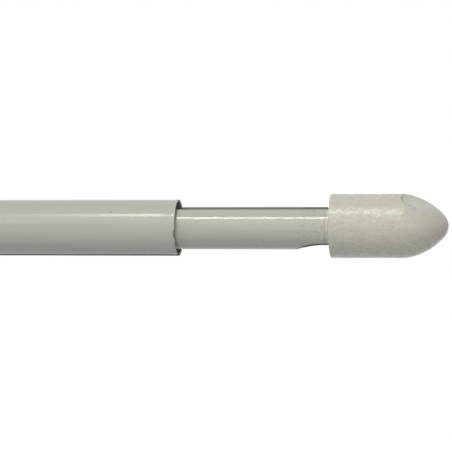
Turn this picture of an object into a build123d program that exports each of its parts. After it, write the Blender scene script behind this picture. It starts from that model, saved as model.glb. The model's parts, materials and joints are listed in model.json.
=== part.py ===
from build123d import *

import os
from math import asin, atan2, cos, degrees, radians, sin, sqrt

# Extendable curtain rod: two rolled steel tubes that telescope, each closed by a bullet-shaped end cap.
# The rod lies along X, with its origin on the axis at the mouth of the outer tube.
# The inner tube comes out of that mouth towards +X, the front of the rod faces -Y, and Z is up.

# Driving dimensions, in millimetres and degrees

# Inner tube: strip rolled to a C with an open slit and a relief notch under its outer end
INNER_TUBE_DIAMETER = 10.0
INNER_TUBE_WALL = 0.5
INNER_SLIT_WIDTH = 4.3
INNER_SLIT_ANGLE = 82.5  # measured up from the front
NOTCH_DEPTH = 1.18
NOTCH_RUN_OUT_RADIUS = 17.5
NOTCH_SHOWN = 2.0  # flat part of the notch that stays outside the cap
NOTCH_TILT = 3.7  # the notch faces down and this much to the front

# Outer tube: strip rolled to a C with its slit underneath, rounded at the corners of its mouth
TUBE_GAP = 0.9  # free gap between the two tubes, on the radius
OUTER_TUBE_WALL = 0.6
OUTER_TUBE_LENGTH = 346.0
OUTER_SLIT_WIDTH = 2.2
OUTER_SLIT_ANGLE = 82.0  # measured down from the front
SLIT_CORNER_RADIUS = 0.7
MOUTH_CHAMFER = 0.15
NICK_WIDTH = 1.9  # small nick worn into the front of the mouth
NICK_DEPTH = 0.35
NICK_HEIGHT = -1.5

# Travel: what shows of the inner tube as modelled, and the room left behind the plug in a closed rod
EXPOSED_LENGTH = 35.5
CLOSED_END_ROOM = 34.0

# End caps: bullet-nosed mouldings, one with a socket for the inner tube, one with a spigot for the outer tube
CAP_OVERHANG = 0.85  # step from the outer tube's outside up to the cap
CAP_RISE = 0.4  # how far the notch lets the inner tube's cap sit above the tube's axis
CAP_RIM_CHAMFER = 0.15
NOSE_ARC_RADIUS = 14.2
NOSE_BREAK_ANGLE = 7.0  # turn of the outline where the straight part meets the nose
NOSE_TIP_RADIUS = 3.6
NOSE_BANDS = 5  # short flats that the outline follows the nose's arc with
GATE_FLAT_DEPTH = 0.7  # shallow flat on the nose where the moulding gate was trimmed
GATE_FLAT_STATION = 3.35  # from the start of the nose
GATE_FLAT_ANGLE = 65.0  # measured up from the front
SOCKET_DEPTH = 14.0
SOCKET_FLOOR = 2.85  # from the socket's floor to the start of the nose
SOCKET_LEAD_IN = 0.4
CAP_SPIGOT_LENGTH = 12.0
CAP_SPIGOT_WALL = 2.0
CAP_SPIGOT_CHAMFER = 0.6
RIB_COUNT = 6
RIB_WIDTH = 0.8
RIB_HEIGHT = 0.17  # crush ribs in the socket and on the spigot
RIB_CLEARANCE = 0.03  # between a rib's crest and the tube

# Friction plug: sprung fingers that grip the outer tube, on a spigot that swivels in the inner tube
PLUG_COLLAR_LENGTH = 14.0
PLUG_CLEARANCE = 0.05  # between its beads and the outer tube's bore
PLUG_BEAD_WIDTH = 2.5
PLUG_BEAD_HEIGHT = 0.25
FINGER_ROOT = 4.0  # solid length of the collar beyond the slots
FINGER_THICKNESS = 2.6
FINGER_SLOT_WIDTH = 1.2
SPIGOT_LENGTH = 12.0
SPIGOT_CLEARANCE = 0.05  # between the spigot and the inner tube's bore
SPIGOT_CHAMFER = 0.6
GROOVE_STATION = 6.0  # from the end of the inner tube to the middle of the groove
DIMPLE_RADIUS = 1.6  # two dimples pressed into the inner tube ride in the spigot's groove
DIMPLE_HEIGHT = 0.4
DIMPLE_CLEARANCE = 0.15

# Radii and stations that follow from them

INNER_RADIUS = INNER_TUBE_DIAMETER / 2
INNER_BORE_RADIUS = INNER_RADIUS - INNER_TUBE_WALL
OUTER_BORE_RADIUS = INNER_RADIUS + TUBE_GAP
OUTER_RADIUS = OUTER_BORE_RADIUS + OUTER_TUBE_WALL
CAP_RADIUS = OUTER_RADIUS + CAP_OVERHANG
PLUG_TRAVEL_LENGTH = OUTER_TUBE_LENGTH - CAP_SPIGOT_LENGTH - CLOSED_END_ROOM
INNER_TUBE_LENGTH = PLUG_TRAVEL_LENGTH - PLUG_COLLAR_LENGTH + SOCKET_DEPTH
INNER_TUBE_END_X = EXPOSED_LENGTH + SOCKET_DEPTH
INNER_TUBE_START_X = INNER_TUBE_END_X - INNER_TUBE_LENGTH
GROOVE_X = INNER_TUBE_START_X + GROOVE_STATION

os.makedirs("parts", exist_ok=True)

# Outer tube

with BuildPart() as outer_tube:
    with BuildSketch(Plane.YZ.offset(-OUTER_TUBE_LENGTH)):
        Circle(OUTER_RADIUS)
        Circle(OUTER_BORE_RADIUS, mode=Mode.SUBTRACT)
    extrude(amount=OUTER_TUBE_LENGTH)
    mouth_face = outer_tube.faces().sort_by(Axis.X)[-1]
    chamfer(mouth_face.edges().sort_by(Edge.length)[-1], MOUTH_CHAMFER)

    # The slit is cut square to the wall and flares where the strip's corners are rounded at the mouth
    slit_outward = (0, -cos(radians(OUTER_SLIT_ANGLE)), -sin(radians(OUTER_SLIT_ANGLE)))
    slit_edge = OUTER_SLIT_WIDTH / 2
    with BuildSketch(Plane(origin=(0, 0, 0), x_dir=(1, 0, 0), z_dir=slit_outward)):
        with BuildLine():
            corner = TangentArc(
                (-SLIT_CORNER_RADIUS, slit_edge), (0, slit_edge + SLIT_CORNER_RADIUS), tangent=(1, 0)
            )
            Polyline(corner @ 0, (-OUTER_TUBE_LENGTH, slit_edge), (-OUTER_TUBE_LENGTH, 0))
            Line(corner @ 1, (0, 0))
            mirror(about=Plane.XZ)
        make_face()
    extrude(amount=2 * OUTER_RADIUS, mode=Mode.SUBTRACT)

    # The nick is the bite of a circle that overlaps the mouth by the nick's depth
    nick_radius = ((NICK_WIDTH / 2) ** 2 + NICK_DEPTH**2) / (2 * NICK_DEPTH)
    with BuildSketch(Plane(origin=(0, 0, NICK_HEIGHT), x_dir=(1, 0, 0), z_dir=(0, -1, 0))):
        with Locations((nick_radius - NICK_DEPTH, 0)):
            Circle(nick_radius)
    extrude(amount=2 * OUTER_RADIUS, mode=Mode.SUBTRACT)

outer_tube.part.label = "outer_tube"
export_step(outer_tube.part, "parts/outer_tube.step")

# Inner tube

# Metal that the two dimples push into the bore, kept inside the tube's outside diameter
dimple_centre_radius = INNER_BORE_RADIUS - DIMPLE_HEIGHT + DIMPLE_RADIUS
dimple_places = [(GROOVE_X, -dimple_centre_radius, 0), (GROOVE_X, dimple_centre_radius, 0)]
with BuildPart() as dimple_metal:
    with Locations(*dimple_places):
        Sphere(DIMPLE_RADIUS)
    with BuildSketch(Plane.YZ.offset(INNER_TUBE_START_X)):
        Circle(INNER_RADIUS)
    extrude(amount=2 * GROOVE_STATION, mode=Mode.INTERSECT)

with BuildPart() as inner_tube:
    with BuildSketch(Plane.YZ.offset(INNER_TUBE_START_X)):
        Circle(INNER_RADIUS)
        Circle(INNER_BORE_RADIUS, mode=Mode.SUBTRACT)
        with PolarLocations(INNER_RADIUS, 1, start_angle=180 - INNER_SLIT_ANGLE):
            Rectangle(INNER_TUBE_DIAMETER, INNER_SLIT_WIDTH, mode=Mode.SUBTRACT)
    extrude(amount=INNER_TUBE_LENGTH)
    add(dimple_metal.part)
    with Locations(*dimple_places):
        Sphere(DIMPLE_RADIUS - INNER_TUBE_WALL, mode=Mode.SUBTRACT)

    # The notch is cut along its own tilted plane, with a wheel's run-out at the inboard end
    notch_level = INNER_RADIUS - NOTCH_DEPTH
    notch_flat_x = EXPOSED_LENGTH - NOTCH_SHOWN
    notch_start_x = notch_flat_x - sqrt(2 * NOTCH_RUN_OUT_RADIUS * NOTCH_DEPTH - NOTCH_DEPTH**2)
    notch_across = (0, cos(radians(NOTCH_TILT)), -sin(radians(NOTCH_TILT)))
    with BuildSketch(Plane(origin=(0, 0, 0), x_dir=(1, 0, 0), z_dir=notch_across)):
        with BuildLine():
            run_out = TangentArc((notch_flat_x, notch_level), (notch_start_x, INNER_RADIUS), tangent=(-1, 0))
            Polyline(
                run_out @ 1,
                (notch_start_x, INNER_TUBE_DIAMETER),
                (INNER_TUBE_END_X, INNER_TUBE_DIAMETER),
                (INNER_TUBE_END_X, notch_level),
                run_out @ 0,
            )
        make_face()
    extrude(amount=INNER_TUBE_DIAMETER, both=True, mode=Mode.SUBTRACT)

inner_tube.part.label = "inner_tube"
export_step(inner_tube.part, "parts/inner_tube.step")

# End caps

# The nose follows one arc in short flats and is rounded off at the tip by a smaller arc
nose_turn = radians(NOSE_BREAK_ANGLE)
cap_straight_length = SOCKET_DEPTH + SOCKET_FLOOR
nose_arc_x = cap_straight_length - NOSE_ARC_RADIUS * sin(nose_turn)
nose_arc_height = CAP_RADIUS - NOSE_ARC_RADIUS * cos(nose_turn)
tip_arc_x = nose_arc_x + sqrt((NOSE_ARC_RADIUS - NOSE_TIP_RADIUS) ** 2 - nose_arc_height**2)
tip_slope = atan2(tip_arc_x - nose_arc_x, -nose_arc_height)
nose_slopes = [nose_turn + (tip_slope - nose_turn) * band / NOSE_BANDS for band in range(NOSE_BANDS + 1)]
nose_outline = [
    (nose_arc_x + NOSE_ARC_RADIUS * sin(slope), nose_arc_height + NOSE_ARC_RADIUS * cos(slope))
    for slope in nose_slopes
]

# The trimmed gate leaves a flat that follows the slope of the nose
gate_slope = asin((GATE_FLAT_STATION + NOSE_ARC_RADIUS * sin(nose_turn)) / NOSE_ARC_RADIUS)
gate_height = nose_arc_height + NOSE_ARC_RADIUS * cos(gate_slope)
gate_outward = Vector(0, -cos(radians(GATE_FLAT_ANGLE)), sin(radians(GATE_FLAT_ANGLE)))


def bullet_head(rim, heading):
    """Outside form that both caps share, still solid.

    Args:
        rim: The middle of the cap's rim.
        heading: Which way the nose points along X, +1 or -1.

    Returns:
        The head as a part.
    """
    with BuildPart() as head:
        with BuildSketch(Plane(origin=rim, x_dir=(heading, 0, 0), z_dir=(0, -heading, 0))):
            with BuildLine():
                tip_turn = 90 - degrees(tip_slope)
                tip = CenterArc((tip_arc_x, 0), NOSE_TIP_RADIUS, start_angle=tip_turn, arc_size=-tip_turn)
                Polyline(
                    tip @ 1,
                    (0, 0),
                    (0, CAP_RADIUS - CAP_RIM_CHAMFER),
                    (CAP_RIM_CHAMFER, CAP_RADIUS),
                    *nose_outline,
                )
            make_face()
        revolve(axis=Axis(rim, (1, 0, 0)))

        gate_normal = Vector(heading * sin(gate_slope), 0, 0) + gate_outward * cos(gate_slope)
        gate_station = rim + Vector(heading * (cap_straight_length + GATE_FLAT_STATION), 0, 0)
        gate_origin = gate_station + gate_outward * gate_height - gate_normal * GATE_FLAT_DEPTH
        split(bisect_by=Plane(origin=gate_origin, z_dir=gate_normal), keep=Keep.BOTTOM)
    return head.part


# The inner tube goes into a blind socket, up to the socket's floor, below the middle of the cap
rib_crest_radius = INNER_RADIUS + RIB_CLEARANCE
socket_radius = rib_crest_radius + RIB_HEIGHT
inner_rim_plane = Plane(origin=(EXPOSED_LENGTH, 0, 0), x_dir=(0, 1, 0), z_dir=(-1, 0, 0))
inner_head = bullet_head(Vector(EXPOSED_LENGTH, 0, CAP_RISE), 1)
with BuildPart() as inner_end_cap:
    add(inner_head)
    with Locations(inner_rim_plane):
        Hole(radius=socket_radius, depth=SOCKET_DEPTH)
    rim_face = inner_end_cap.faces().filter_by(GeomType.PLANE).sort_by(Axis.X)[0]
    chamfer(rim_face.inner_wires()[0].edges(), SOCKET_LEAD_IN)

    # Each rib is rooted as deep in the wall as it stands out of it, and stops at the lead-in
    with BuildSketch(inner_rim_plane.offset(-SOCKET_DEPTH)):
        with PolarLocations(socket_radius, RIB_COUNT):
            Rectangle(2 * RIB_HEIGHT, RIB_WIDTH)
    extrude(amount=SOCKET_DEPTH - 2 * SOCKET_LEAD_IN)

inner_end_cap.part.label = "inner_end_cap"
export_step(inner_end_cap.part, "parts/inner_end_cap.step")

# The outer tube takes a spigot, cored from its free end, and butts against the rim
cap_spigot_radius = OUTER_BORE_RADIUS - RIB_CLEARANCE - RIB_HEIGHT
cap_core_depth = CAP_SPIGOT_LENGTH + SOCKET_DEPTH
outer_rim_plane = Plane(origin=(-OUTER_TUBE_LENGTH, 0, 0), x_dir=(0, 1, 0), z_dir=(1, 0, 0))
outer_head = bullet_head(Vector(-OUTER_TUBE_LENGTH, 0, 0), -1)
with BuildPart() as outer_end_cap:
    add(outer_head)
    with BuildSketch(outer_rim_plane):
        Circle(cap_spigot_radius)
    extrude(amount=CAP_SPIGOT_LENGTH)
    spigot_face = outer_end_cap.faces().filter_by(GeomType.PLANE).sort_by(Axis.X)[-1]
    chamfer(spigot_face.edges(), CAP_SPIGOT_CHAMFER)
    with Locations(outer_rim_plane.offset(CAP_SPIGOT_LENGTH)):
        Hole(radius=cap_spigot_radius - CAP_SPIGOT_WALL, depth=cap_core_depth)
    with BuildSketch(outer_rim_plane):
        with PolarLocations(cap_spigot_radius, RIB_COUNT):
            Rectangle(2 * RIB_HEIGHT, RIB_WIDTH)
    extrude(amount=CAP_SPIGOT_LENGTH - 2 * CAP_SPIGOT_CHAMFER)

outer_end_cap.part.label = "outer_end_cap"
export_step(outer_end_cap.part, "parts/outer_end_cap.step")

# Friction plug

bead_radius = OUTER_BORE_RADIUS - PLUG_CLEARANCE
collar_radius = bead_radius - PLUG_BEAD_HEIGHT
collar_start_x = INNER_TUBE_START_X - PLUG_COLLAR_LENGTH
spigot_radius = INNER_BORE_RADIUS - SPIGOT_CLEARANCE
spigot_end_x = INNER_TUBE_START_X + SPIGOT_LENGTH

# The groove leaves room around a dimple, which is widest where it passes the spigot's surface
groove_radius = INNER_BORE_RADIUS - DIMPLE_HEIGHT - DIMPLE_CLEARANCE
dimple_sink = DIMPLE_HEIGHT - SPIGOT_CLEARANCE
groove_half_width = sqrt(2 * DIMPLE_RADIUS * dimple_sink - dimple_sink**2) + DIMPLE_CLEARANCE

with BuildPart() as friction_plug:
    with BuildSketch(Plane.XZ):
        with BuildLine():
            Polyline(
                (collar_start_x, 0),
                (collar_start_x, collar_radius),
                (collar_start_x + PLUG_BEAD_HEIGHT, bead_radius),
                (collar_start_x + PLUG_BEAD_WIDTH, bead_radius),
                (collar_start_x + PLUG_BEAD_WIDTH + PLUG_BEAD_HEIGHT, collar_radius),
                (INNER_TUBE_START_X - PLUG_BEAD_WIDTH - PLUG_BEAD_HEIGHT, collar_radius),
                (INNER_TUBE_START_X - PLUG_BEAD_WIDTH, bead_radius),
                (INNER_TUBE_START_X, bead_radius),
                (INNER_TUBE_START_X, spigot_radius),
                (GROOVE_X - groove_half_width, spigot_radius),
                (GROOVE_X - groove_half_width, groove_radius),
                (GROOVE_X + groove_half_width, groove_radius),
                (GROOVE_X + groove_half_width, spigot_radius),
                (spigot_end_x - SPIGOT_CHAMFER, spigot_radius),
                (spigot_end_x, spigot_radius - SPIGOT_CHAMFER),
                (spigot_end_x, 0),
                close=True,
            )
        make_face()
    revolve(axis=Axis.X)

    # Two crossed slots and a core hole leave four fingers at the free end of the collar
    with BuildSketch(Plane.YZ.offset(collar_start_x)):
        Circle(collar_radius - FINGER_THICKNESS)
        Rectangle(FINGER_SLOT_WIDTH, 3 * bead_radius)
        Rectangle(3 * bead_radius, FINGER_SLOT_WIDTH)
    extrude(amount=PLUG_COLLAR_LENGTH - FINGER_ROOT, mode=Mode.SUBTRACT)

friction_plug.part.label = "friction_plug"
export_step(friction_plug.part, "parts/friction_plug.step")
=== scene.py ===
"""Looks of an extendable curtain rod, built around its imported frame.

Two steel tubes, rolled from painted strip, telescope into each other, and a bullet-shaped plastic cap closes
each end. The rod lies along X with its origin on the axis at the outer tube's mouth. Its front faces -Y.
"""

from __future__ import annotations

import json
import logging
import math
from abc import ABC, abstractmethod
from collections.abc import Callable, Iterable
from dataclasses import dataclass
from enum import Enum
from typing import Any

import bpy
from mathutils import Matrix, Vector

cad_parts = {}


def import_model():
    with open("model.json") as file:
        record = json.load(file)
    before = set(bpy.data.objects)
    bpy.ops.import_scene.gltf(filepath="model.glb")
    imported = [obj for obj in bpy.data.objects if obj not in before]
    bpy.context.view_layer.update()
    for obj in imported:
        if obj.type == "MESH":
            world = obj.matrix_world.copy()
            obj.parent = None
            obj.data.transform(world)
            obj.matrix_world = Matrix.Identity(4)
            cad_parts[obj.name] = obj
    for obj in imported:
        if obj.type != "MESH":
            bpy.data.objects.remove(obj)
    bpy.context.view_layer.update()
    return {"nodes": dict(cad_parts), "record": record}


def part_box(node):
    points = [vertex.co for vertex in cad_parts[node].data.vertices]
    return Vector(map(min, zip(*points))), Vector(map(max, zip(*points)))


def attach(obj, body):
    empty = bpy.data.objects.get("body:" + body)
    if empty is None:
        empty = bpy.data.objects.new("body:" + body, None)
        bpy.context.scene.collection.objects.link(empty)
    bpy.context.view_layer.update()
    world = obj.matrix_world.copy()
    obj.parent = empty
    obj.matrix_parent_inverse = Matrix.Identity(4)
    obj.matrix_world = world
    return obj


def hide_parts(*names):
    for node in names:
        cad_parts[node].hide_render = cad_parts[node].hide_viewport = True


log = logging.getLogger("curtain_rod")

MM = 0.001
FULL_TURN = 2 * math.pi

Colour = tuple[float, float, float, float]
LightColour = tuple[float, float, float]
Outline = list[tuple[float, float]]

# A Mix node's sockets for colours, by number, because their names repeat for each type of data
MIX_SHARE = 0
MIX_BELOW = 6
MIX_ABOVE = 7
MIX_RESULT = 2


# Named options


class Element(Enum):
    """What a pick selects, as edit mode's switches for vertices, edges and faces."""

    VERTEX = (True, False, False)
    FACE = (False, False, True)


class Falloff(Enum):
    """How a push fades out around the picked vertices, by Blender's names."""

    SHARP = "SHARP"
    SPHERE = "SPHERE"


class TubeSlot(Enum):
    """Material slots of a tube's mesh, in order."""

    PAINT = 0
    CUT_EDGE = 1
    BORE = 2


class Heading(Enum):
    """Which way a cap's nose points along X."""

    RIGHT = 1
    LEFT = -1


# Mesh helpers


def start_piece(piece: bpy.types.Object, name: str) -> bpy.types.Object:
    """Names a fresh primitive and moves its place and turn into its mesh.

    Args:
        piece: The primitive, still active and selected.
        name: The piece's name.

    Returns:
        The same object, now at the origin.
    """
    piece.name = name
    piece.data.name = name
    bpy.ops.object.transform_apply(location=True, rotation=True, scale=True)
    return piece


def shape(
    piece: bpy.types.Object,
    element: Element,
    chosen: Callable[[Vector], bool],
    operator: Callable[..., object],
    **settings: object,
) -> None:
    """Picks part of a mesh by place and runs one edit-mode operator on it.

    Args:
        piece: The object to edit, which is the active one.
        element: Whether vertices or faces are picked.
        chosen: Says of a vertex, or of a face's centre, whether it is picked.
        operator: The edit-mode operator.
        **settings: What the operator is given.
    """
    mesh = piece.data
    for group in (mesh.vertices, mesh.edges, mesh.polygons):
        group.foreach_set("select", [False] * len(group))
    if element is Element.VERTEX:
        mesh.vertices.foreach_set("select", [chosen(vertex.co) for vertex in mesh.vertices])
    else:
        mesh.polygons.foreach_set("select", [chosen(face.center) for face in mesh.polygons])
    bpy.context.tool_settings.mesh_select_mode = element.value
    bpy.ops.object.mode_set(mode="EDIT")
    operator(**settings)
    bpy.ops.object.mode_set(mode="OBJECT")


def everywhere(_: Vector) -> bool:
    """Picks every element."""
    return True


def push(
    piece: bpy.types.Object,
    chosen: Callable[[Vector], bool],
    offset: Vector,
    reach: float,
    falloff: Falloff,
) -> None:
    """Moves picked vertices and takes their neighbours along, less and less with distance.

    Args:
        piece: The object to edit, which is the active one.
        chosen: Says of a vertex whether it moves all the way.
        offset: How far it moves.
        reach: Distance in which the move fades out.
        falloff: How it fades.
    """
    shape(
        piece,
        Element.VERTEX,
        chosen,
        bpy.ops.transform.translate,
        value=offset,
        use_proportional_edit=True,
        proportional_edit_falloff=falloff.value,
        proportional_size=reach,
    )
    bpy.context.tool_settings.use_proportional_edit = False


def apply_modifier(piece: bpy.types.Object, kind: str, **settings: object) -> None:
    """Adds a modifier to the active piece and applies it at once.

    Args:
        piece: The active object.
        kind: Blender's name of the modifier.
        **settings: The modifier's values.
    """
    modifier = piece.modifiers.new(kind.title(), kind)
    for name, value in settings.items():
        setattr(modifier, name, value)
    bpy.ops.object.modifier_apply(modifier=modifier.name)


def draw_outline(name: str, points: Iterable[Vector]) -> bpy.types.Object:
    """Draws an open line of edges by extruding one vertex from point to point.

    Args:
        name: The new object's name.
        points: The line's points, in order.

    Returns:
        The object, which is the active one.
    """
    first, *others = points
    bpy.ops.object.select_all(action="DESELECT")
    bpy.ops.mesh.primitive_plane_add(size=MM, location=first)
    outline = start_piece(bpy.context.object, name)
    bpy.context.tool_settings.mesh_select_mode = Element.VERTEX.value
    bpy.ops.object.mode_set(mode="EDIT")
    bpy.ops.mesh.select_all(action="SELECT")
    bpy.ops.mesh.merge(type="CENTER")
    last = first
    for point in others:
        bpy.ops.mesh.extrude_region_move(TRANSFORM_OT_translate={"value": point - last})
        last = point
    bpy.ops.object.mode_set(mode="OBJECT")
    return outline


def around(angle: float, radius: float, x: float) -> Vector:
    """Gives a point round the rod.

    Args:
        angle: Angle up from the front, in radians.
        radius: Distance from the axis.
        x: Station along the rod.

    Returns:
        The point in the frame.
    """
    return Vector((x, -radius * math.cos(angle), radius * math.sin(angle)))


# Finishes


def linear(hex_colour: str) -> Colour:
    """Turns an sRGB colour to linear RGBA, along the curve of the sRGB standard.

    Args:
        hex_colour: The colour as a hex value, such as "#C3C0B2".

    Returns:
        The linear colour, opaque.
    """
    channels = [int(hex_colour[i : i + 2], 16) / 255 for i in (1, 3, 5)]
    red, green, blue = (c / 12.92 if c <= 0.04045 else ((c + 0.055) / 1.055) ** 2.4 for c in channels)
    return red, green, blue, 1.0


def add_node(
    tree: bpy.types.NodeTree, kind: str, inputs: dict[str | int, object] | None = None, **settings: object
) -> bpy.types.Node:
    """Adds one node with its settings, values and links.

    Args:
        tree: The node tree.
        kind: Blender's name of the node, without its ShaderNode prefix.
        inputs: A value, or a socket to link, for each input by name or number.
        **settings: The node's own attributes.

    Returns:
        The new node.
    """
    node = tree.nodes.new(f"ShaderNode{kind}")
    for name, value in settings.items():
        setattr(node, name, value)
    for name, value in (inputs or {}).items():
        if isinstance(value, bpy.types.NodeSocket):
            tree.links.new(value, node.inputs[name])
        else:
            node.inputs[name].default_value = value
    return node


def start_material(name: str) -> tuple[bpy.types.Material, bpy.types.NodeTree, bpy.types.Node]:
    """Makes an empty material with a Principled shader at its output.

    Args:
        name: The material's name.

    Returns:
        The material, its node tree and the shader node.
    """
    material = bpy.data.materials.new(name)
    material.use_nodes = True
    tree = material.node_tree
    tree.nodes.clear()
    shader = add_node(tree, "BsdfPrincipled")
    add_node(tree, "OutputMaterial", {"Surface": shader.outputs["BSDF"]})
    return material, tree, shader


def cells_per_metre(cell_mm: float) -> float:
    """Gives a pattern's scale from the size of one of its cells in millimetres."""
    return 1 / (cell_mm * MM)


@dataclass(frozen=True)
class Speck:
    """A small dark fleck in a finish.

    Attributes:
        place: Where it sits on the surface.
        radius: Its radius, in millimetres.
    """

    place: Vector
    radius: float

    CORE = 0.4  # share of the radius in which it is fully dark


def darken_specks(
    tree: bpy.types.NodeTree,
    place: bpy.types.NodeSocket,
    colour: bpy.types.NodeSocket,
    specks: tuple[Speck, ...],
    fleck: str,
) -> bpy.types.NodeSocket:
    """Lays small flecks over a colour.

    Args:
        tree: The material's node tree.
        place: Object coordinates.
        colour: The colour below.
        specks: The flecks.
        fleck: Their colour.

    Returns:
        The colour with the flecks on it.
    """
    for speck in specks:
        radius = speck.radius * MM
        distance = add_node(tree, "VectorMath", {0: place, 1: speck.place}, operation="DISTANCE")
        share = add_node(
            tree,
            "MapRange",
            {"Value": distance.outputs["Value"], "From Min": radius, "From Max": Speck.CORE * radius},
            interpolation_type="SMOOTHSTEP",
        )
        mix = add_node(
            tree,
            "Mix",
            {MIX_SHARE: share.outputs["Result"], MIX_BELOW: colour, MIX_ABOVE: linear(fleck)},
            data_type="RGBA",
        )
        colour = mix.outputs[MIX_RESULT]
    return colour


@dataclass(frozen=True)
class CapWearAndShading:
    """Wear that fitting a cap left on a tube's paint, with painted shade and painted highlight at the cap's
    rim.

    Attributes:
        start: Station where the scuffs begin, in millimetres.
        full: Station from which they are as dense as they get, in millimetres.
        ring: Station of the darker line at the cap's rim, in millimetres: painted shade of a ridge there,
            with a lighter band past it of worn paint and painted highlight.
    """

    start: float
    full: float
    ring: float


@dataclass(frozen=True)
class StripEnamel:
    """Off-white polyester enamel, rolled onto steel strip before forming.

    Attributes:
        name: The material's name.
        roughness: The paint's roughness, which handling has raised on the outer tube.
        specks: Flecks in the paint.
        wear_and_shading: Wear beside a cap, with painted shade and highlight at its rim, if there is any.
    """

    name: str
    roughness: float
    specks: tuple[Speck, ...] = ()
    wear_and_shading: CapWearAndShading | None = None

    # Rolled-on enamel levels out to a thin semi-gloss film, so the eye gets an even off-white
    # with one crisp, slightly wavy highlight along the tube.
    COLOUR = "#C3C0B2"
    SHADE = "#BBB8AB"
    FLECK = "#6E6A5F"
    # Smudges are dirt; this colour also draws the darker line at a cap's rim, which is painted shade.
    SMUDGE_AND_RING_SHADE = "#8B887D"
    # The lighter band past that line is worn paint and painted highlight.
    SCRAPED_AND_HIGHLIGHT = "#D6D4C9"
    SPECULAR = 0.3

    # Cells and heights of the patterns, in millimetres. Real peel and scuffs are a few tenths
    # of a millimetre wide, too fine to show, so both are drawn coarser.
    TINT_CELL = 9.0
    PEEL_CELL = 1.3
    PEEL_STRETCH = 6.0  # how much longer a cell is along the rolling direction
    PEEL_HEIGHT = 0.012
    SCUFF_CELL = 0.6
    SCUFF_HEIGHT = 0.025

    # Smudges lie where the scuffs stand highest. The darker line is as wide as a cap's rim and is painted
    # shade of a ridge there; the lighter band past it is worn paint and painted highlight.
    SMUDGE_FROM = 0.53
    SMUDGE_TO = 0.72
    SMUDGE_SHARE = 0.45
    RING_HALF_WIDTH = 0.22
    RING_SHADE_SHARE = 0.28
    SCRAPED_HIGHLIGHT_FROM = 0.5  # in half widths of the line, past its middle
    SCRAPED_HIGHLIGHT_TO = 2.0
    SCRAPED_HIGHLIGHT_SHARE = 0.5

    def build(self) -> bpy.types.Material:
        """Builds the material.

        Returns:
            The finished material.
        """
        material, tree, shader = start_material(self.name)
        place = add_node(tree, "TexCoord").outputs["Object"]
        stretch = (1 / self.PEEL_STRETCH, 1, 1)
        along = add_node(tree, "Mapping", {"Vector": place, "Scale": stretch}).outputs["Vector"]
        tint = add_node(tree, "TexNoise", {"Vector": along, "Scale": cells_per_metre(self.TINT_CELL)})
        colour = add_node(
            tree,
            "Mix",
            {MIX_SHARE: tint.outputs["Fac"], MIX_BELOW: linear(self.COLOUR), MIX_ABOVE: linear(self.SHADE)},
            data_type="RGBA",
        )
        peel = add_node(tree, "TexNoise", {"Vector": along, "Scale": cells_per_metre(self.PEEL_CELL)})
        bump = add_node(
            tree,
            "Bump",
            {"Height": peel.outputs["Fac"], "Distance": self.PEEL_HEIGHT * MM, "Strength": 1.0},
        )
        skin = darken_specks(tree, place, colour.outputs[MIX_RESULT], self.specks, self.FLECK)
        # Scuffs and smudges towards the cap, plus painted shade and highlight at its rim.
        if self.wear_and_shading:
            skin, bump = self.wear_and_shade(tree, place, skin, bump)
        tree.links.new(skin, shader.inputs["Base Color"])
        tree.links.new(bump.outputs["Normal"], shader.inputs["Normal"])
        shader.inputs["Roughness"].default_value = self.roughness
        shader.inputs["Specular IOR Level"].default_value = self.SPECULAR
        return material

    def wear_and_shade(
        self,
        tree: bpy.types.NodeTree,
        place: bpy.types.NodeSocket,
        skin: bpy.types.NodeSocket,
        below: bpy.types.Node,
    ) -> tuple[bpy.types.NodeSocket, bpy.types.Node]:
        """Scuffs and smudges the paint towards the cap, and at its rim paints a ridge's shade and highlight
        on worn paint.

        Args:
            tree: The material's node tree.
            place: Object coordinates.
            skin: The paint's colour.
            below: The bump that the scuffs lie on.

        Returns:
            The worn colour and the bump with the scuffs.
        """
        station = add_node(tree, "SeparateXYZ", {"Vector": place}).outputs["X"]
        amount = add_node(
            tree,
            "MapRange",
            {"Value": station, "From Min": self.wear_and_shading.start * MM, "From Max": self.wear_and_shading.full * MM},
            interpolation_type="SMOOTHSTEP",
        ).outputs["Result"]
        scuff = add_node(tree, "TexNoise", {"Vector": place, "Scale": cells_per_metre(self.SCUFF_CELL)})
        height = add_node(
            tree, "Math", {0: scuff.outputs["Fac"], 1: amount}, operation="MULTIPLY"
        ).outputs["Value"]
        bump = add_node(
            tree,
            "Bump",
            {
                "Height": height,
                "Distance": self.SCUFF_HEIGHT * MM,
                "Strength": 1.0,
                "Normal": below.outputs["Normal"],
            },
        )
        smudge = add_node(
            tree,
            "MapRange",
            {
                "Value": height,
                "From Min": self.SMUDGE_FROM,
                "From Max": self.SMUDGE_TO,
                "To Max": self.SMUDGE_SHARE,
            },
        )
        # The darker line at the cap's rim is painted shade of a ridge there; the lighter band past it is worn
        # paint and painted highlight.
        half_width = self.RING_HALF_WIDTH * MM
        offset = add_node(
            tree, "Math", {0: station, 1: self.wear_and_shading.ring * MM}, operation="SUBTRACT"
        ).outputs["Value"]
        distance = add_node(tree, "Math", {0: offset}, operation="ABSOLUTE").outputs["Value"]
        ring = add_node(
            tree,
            "MapRange",
            {"Value": distance, "From Min": half_width, "From Max": 0.0, "To Max": self.RING_SHADE_SHARE},
        )
        scraped_and_lit = add_node(
            tree,
            "MapRange",
            {
                "Value": offset,
                "From Min": self.SCRAPED_HIGHLIGHT_FROM * half_width,
                "From Max": self.SCRAPED_HIGHLIGHT_TO * half_width,
                "To Max": self.SCRAPED_HIGHLIGHT_SHARE,
            },
        )
        for share, colour in ((smudge, self.SMUDGE_AND_RING_SHADE), (ring, self.SMUDGE_AND_RING_SHADE), (scraped_and_lit, self.SCRAPED_AND_HIGHLIGHT)):
            mix = add_node(
                tree,
                "Mix",
                {MIX_SHARE: share.outputs["Result"], MIX_BELOW: skin, MIX_ABOVE: linear(colour)},
                data_type="RGBA",
            )
            skin = mix.outputs[MIX_RESULT]
        return skin, bump


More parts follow.
